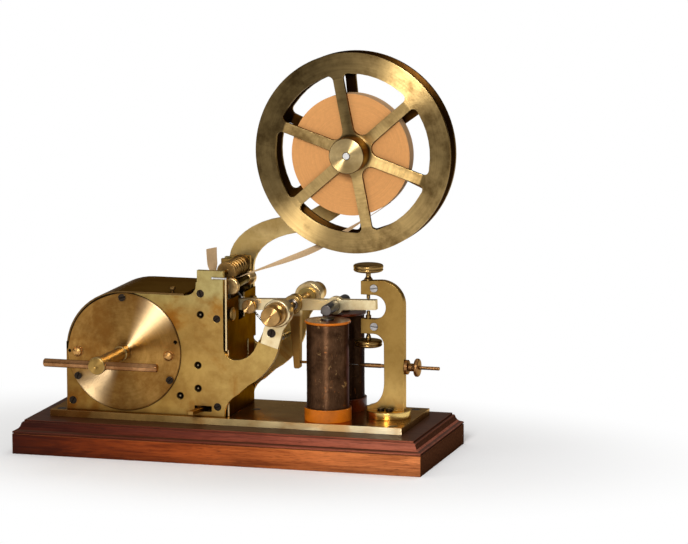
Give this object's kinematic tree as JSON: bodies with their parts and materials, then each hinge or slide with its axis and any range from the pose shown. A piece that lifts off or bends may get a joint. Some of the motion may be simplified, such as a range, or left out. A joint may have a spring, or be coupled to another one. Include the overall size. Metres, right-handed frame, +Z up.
{
  "type": "telegraph register",
  "caption": "Clockwork telegraph register that pulls paper tape from a spoked reel past a magnet-driven stylus lever, on a moulded wooden base.",
  "frame": {"origin": "middle of the wooden base's underside", "axes": "+X to the right along the base towards the reel, +Y to the back, +Z up"},
  "size_m": [0.3885, 0.1913, 0.3631],
  "materials": {
    "mahogany": "polished red-brown mahogany",
    "brass": "aged, softly polished",
    "bright_brass": "turned and polished",
    "bronze": "worn, brown patina",
    "steel": "satin",
    "blued_steel": "dark blued",
    "iron": "soft iron, grey",
    "amber_flange": "polished horn or shellacked wood",
    "coil_wrap": "worn dark wrapping",
    "paper": "aged tan paper"
  },
  "bodies": {
    "frame": {"base_block": "mahogany", "base_moulding": "mahogany", "base_plate": "brass", "base_plate_screws": "brass", "front_plate": "brass", "back_plate": "brass", "plate_pillars": "brass", "plate_screws": "blued_steel", "train_bridge": "brass", "barrel_cover": "bright_brass", "drum_cover": "brass", "end_cover": "brass", "end_cover_screws": "brass", "pressure_spring": "steel", "frame_pivot": "steel", "guide_bracket": "bright_brass", "front_pivot_block": "bright_brass", "back_pivot_block": "bright_brass", "front_bobbin": "amber_flange", "front_winding": "coil_wrap", "back_bobbin": "amber_flange", "back_winding": "coil_wrap", "magnet_core": "iron", "contact_bracket": "brass", "clamp_screws": "steel", "regulator_bush": "brass", "regulator_spring": "steel", "reel_arm": "brass", "paper_tape": "paper"},
    "winding": {"winding_key": "bright_brass", "key_bar": "bronze", "winding_arbor": "steel"},
    "ratchet_click": {"click": "steel"},
    "barrel": {"spring_barrel": "brass", "mainspring": "steel"},
    "centre": {"centre_wheels": "brass"},
    "governor": {"governor_wheel": "brass"},
    "fly": {"governor_fly": "brass"},
    "feed": {"feed_wheels": "brass"},
    "idler": {"idler_wheel": "brass"},
    "feed_roller": {"grooved_roller": "brass"},
    "pressure_arm": {"pressure_frame": "blued_steel"},
    "nip_roller": {"pressure_roller": "brass"},
    "lever": {"armature_lever": "bright_brass", "lever_arbor": "steel", "armature": "iron", "stylus": "steel"},
    "stylus_clamp": {"stylus_knob": "bright_brass"},
    "front_pivot": {"front_pivot_screw": "brass"},
    "back_pivot": {"back_pivot_screw": "brass"},
    "upper_contact": {"upper_contact_screw": "brass"},
    "lower_contact": {"lower_contact_screw": "brass"},
    "tension_rod": {"regulator_rod": "brass"},
    "tension_nut": {"regulator_nut": "brass"},
    "reel": {"reel_hub": "bright_brass", "reel_front_wheel": "brass", "reel_back_wheel": "brass"},
    "roll": {"paper_roll": "paper"},
    "brake": {"stop_lever": "brass"}
  },
  "joints": [
    {"name": "winding_turn", "type": "hinge", "parent": "frame", "child": "winding", "pos_m": [-0.095, 0, 0.0915], "axis": [0, 1, 0], "continuous": true},
    {"name": "click_lift", "type": "hinge", "parent": "frame", "child": "ratchet_click", "pos_m": [-0.075, -0.031, 0.0975], "axis": [0, 1, 0], "range_deg": [0, 12], "stiffness_Nm_per_rad": 0.002, "springref_deg": -28.65},
    {"name": "barrel_spin", "type": "hinge", "parent": "frame", "child": "barrel", "pos_m": [-0.095, 0, 0.0915], "axis": [0, 1, 0], "continuous": true},
    {"name": "centre_spin", "type": "hinge", "parent": "frame", "child": "centre", "pos_m": [-0.0256, 0, 0.08236], "axis": [0, 1, 0], "continuous": true},
    {"name": "governor_spin", "type": "hinge", "parent": "frame", "child": "governor", "pos_m": [-0.0256, 0, 0.06136], "axis": [0, 1, 0], "continuous": true},
    {"name": "fly_spin", "type": "hinge", "parent": "frame", "child": "fly", "pos_m": [-0.0425, 0, 0.05384], "axis": [0, 1, 0], "continuous": true},
    {"name": "feed_spin", "type": "hinge", "parent": "frame", "child": "feed", "pos_m": [-0.02295, 0, 0.12829], "axis": [0, 1, 0], "continuous": true},
    {"name": "idler_spin", "type": "hinge", "parent": "frame", "child": "idler", "pos_m": [-0.01518, 0, 0.15205], "axis": [0, 1, 0], "continuous": true},
    {"name": "feed_roller_spin", "type": "hinge", "parent": "frame", "child": "feed_roller", "pos_m": [-0.00524, 0, 0.16459], "axis": [0, 1, 0], "continuous": true},
    {"name": "pressure_swing", "type": "hinge", "parent": "frame", "child": "pressure_arm", "pos_m": [-0.01518, 0, 0.15205], "axis": [0, 1, 0], "range_deg": [0, 9], "stiffness_Nm_per_rad": 0.1, "springref_deg": -11.46},
    {"name": "nip_roller_spin", "type": "hinge", "parent": "pressure_arm", "child": "nip_roller", "pos_m": [-0.00005, 0, 0.15199], "axis": [0, 1, 0], "continuous": true},
    {"name": "lever_rock", "type": "hinge", "parent": "frame", "child": "lever", "pos_m": [0.0515, 0, 0.1345], "axis": [0, 1, 0], "range_deg": [0, 0.8], "stiffness_Nm_per_rad": 1, "springref_deg": -3.44},
    {"name": "stylus_clamp_turn", "type": "hinge", "parent": "lever", "child": "stylus_clamp", "pos_m": [0.01207, 0, 0.13186], "axis": [0, 1, 0], "range_deg": [-360, 360]},
    {"name": "front_pivot_turn", "type": "hinge", "parent": "frame", "child": "front_pivot", "pos_m": [0.0515, -0.06, 0.1345], "axis": [0, 1, 0], "range_deg": [-360, 360]},
    {"name": "back_pivot_turn", "type": "hinge", "parent": "frame", "child": "back_pivot", "pos_m": [0.0515, 0.066, 0.1345], "axis": [0, 1, 0], "range_deg": [-360, 360]},
    {"name": "upper_contact_turn", "type": "hinge", "parent": "frame", "child": "upper_contact", "pos_m": [0.1205, 0.004, 0.16], "axis": [0, 0, 1], "range_deg": [-360, 360]},
    {"name": "lower_contact_turn", "type": "hinge", "parent": "frame", "child": "lower_contact", "pos_m": [0.1205, 0.004, 0.11], "axis": [0, 0, 1], "range_deg": [-360, 360]},
    {"name": "tension_nut_turn", "type": "hinge", "parent": "frame", "child": "tension_nut", "pos_m": [0.165, 0.004, 0.0818], "axis": [1, 0, 0], "range_deg": [-1080, 1440]},
    {"name": "tension_slide", "type": "slide", "parent": "frame", "child": "tension_rod", "axis": [1, 0, 0], "range_m": [-0.0015, 0.002], "deforming": ["regulator_spring"]},
    {"name": "reel_spin", "type": "hinge", "parent": "frame", "child": "reel", "pos_m": [0.109, 0, 0.2736], "axis": [0, 1, 0], "continuous": true},
    {"name": "roll_spin", "type": "hinge", "parent": "frame", "child": "roll", "pos_m": [0.1062, 0, 0.2718], "axis": [0, 1, 0], "continuous": true},
    {"name": "brake_turn", "type": "hinge", "parent": "frame", "child": "brake", "pos_m": [-0.02, -0.026, 0.042], "axis": [0, 0, 1], "range_deg": [-10, 6]}
  ],
  "couplings": [
    {"joint": "idler_spin", "follows": "feed_roller_spin", "ratio": -0.6},
    {"joint": "feed_spin", "follows": "feed_roller_spin", "ratio": 0.4},
    {"joint": "centre_spin", "follows": "feed_roller_spin", "ratio": -0.28148},
    {"joint": "barrel_spin", "follows": "feed_roller_spin", "ratio": 0.10487},
    {"joint": "governor_spin", "follows": "feed_roller_spin", "ratio": 0.90074},
    {"joint": "fly_spin", "follows": "feed_roller_spin", "ratio": -2.129},
    {"joint": "nip_roller_spin", "follows": "feed_roller_spin", "ratio": -2.1707},
    {"joint": "reel_spin", "follows": "feed_roller_spin", "ratio": 0.1639},
    {"joint": "roll_spin", "follows": "feed_roller_spin", "ratio": 0.1639},
    {"joint": "tension_slide", "follows": "tension_nut_turn", "m_per_rad": 0.000079577}
  ]
}
